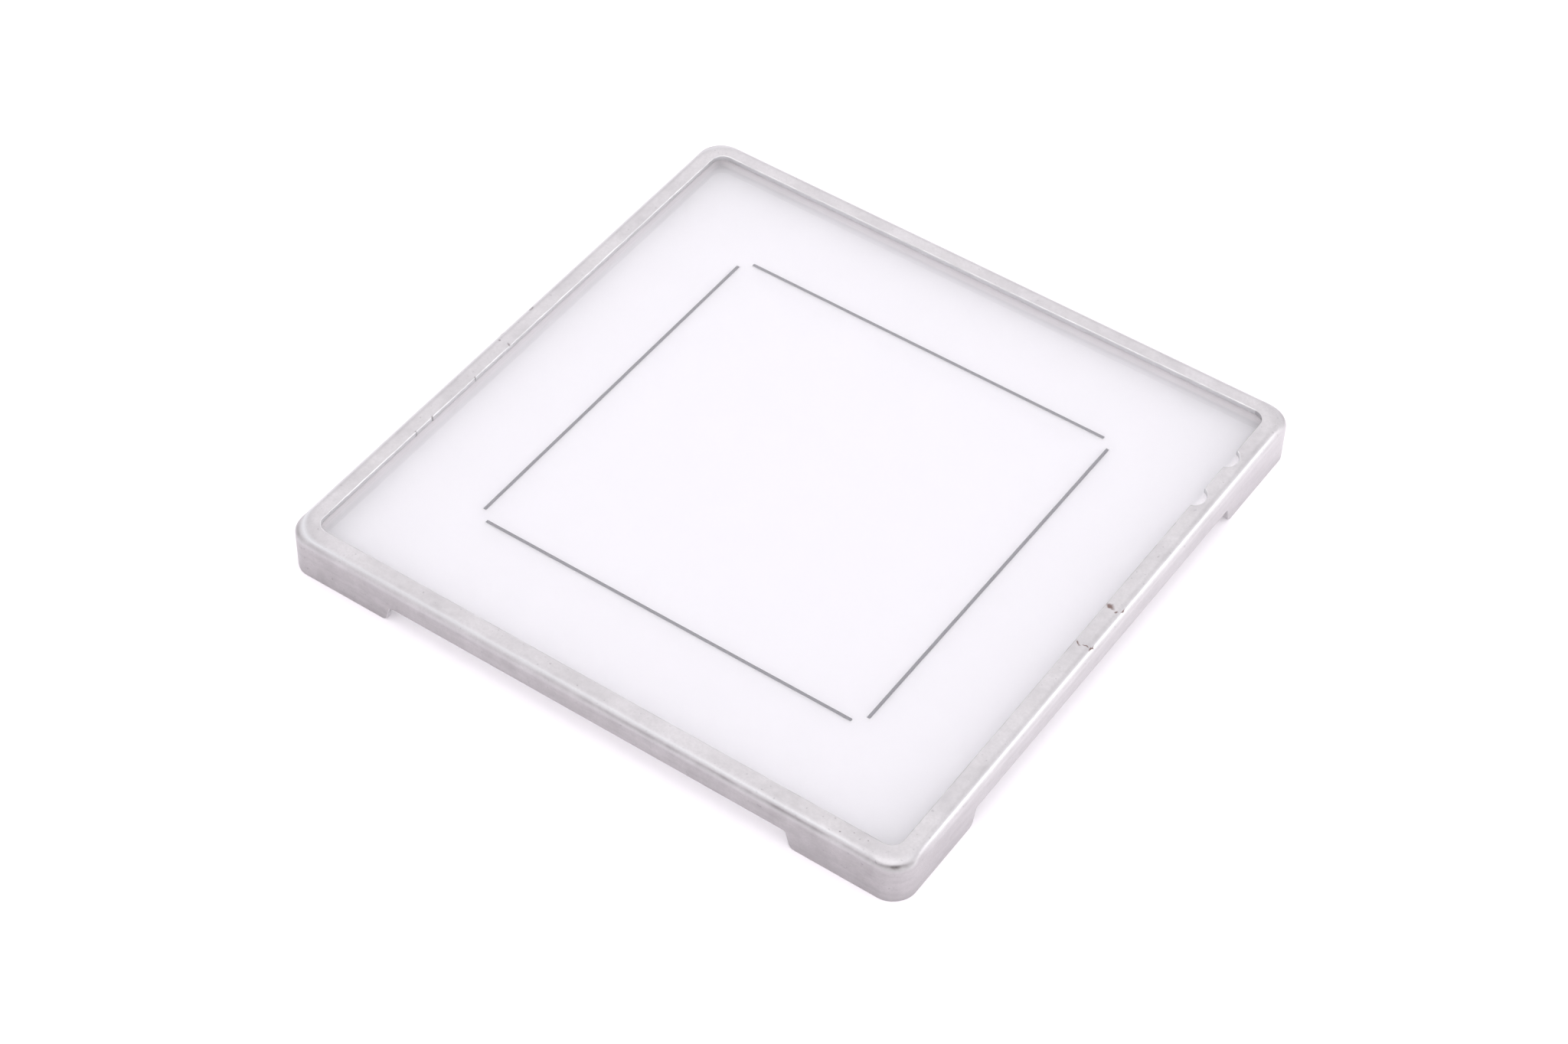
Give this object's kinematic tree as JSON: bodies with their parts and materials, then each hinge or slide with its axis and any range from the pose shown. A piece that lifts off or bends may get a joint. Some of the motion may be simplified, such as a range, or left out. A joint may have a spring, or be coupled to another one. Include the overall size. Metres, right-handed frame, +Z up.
{
  "type": "focusing screen",
  "caption": "Square drop-in camera focusing screen: a pressed aluminium tray on corner feet holds a clear cover glass over a matte Fresnel plate marked with a smaller square.",
  "frame": {"origin": "middle of the square tray, on the plane that its four feet stand on", "axes": "+Z up, from the feet to the flange and the viewing side; +X towards the side whose flange has the two half-round notches; the notches lie towards +Y"},
  "size_m": [0.0584, 0.0584, 0.0041],
  "materials": {
    "satin_aluminium": "satin, lightly bead-blasted, handled",
    "cover_glass": "polished clear",
    "matte_acrylic": "fine matte, translucent white",
    "line_ink": "matte dark grey ink",
    "spring_steel": "darkened, satin"
  },
  "bodies": {
    "root": {"tray_frame": "satin_aluminium", "cover_glass": "cover_glass", "fresnel_matte_plate": "matte_acrylic", "format_line_front": "line_ink", "format_line_right": "line_ink", "format_line_back": "line_ink", "format_line_left": "line_ink", "retaining_frame": "spring_steel"}
  },
  "joints": []
}
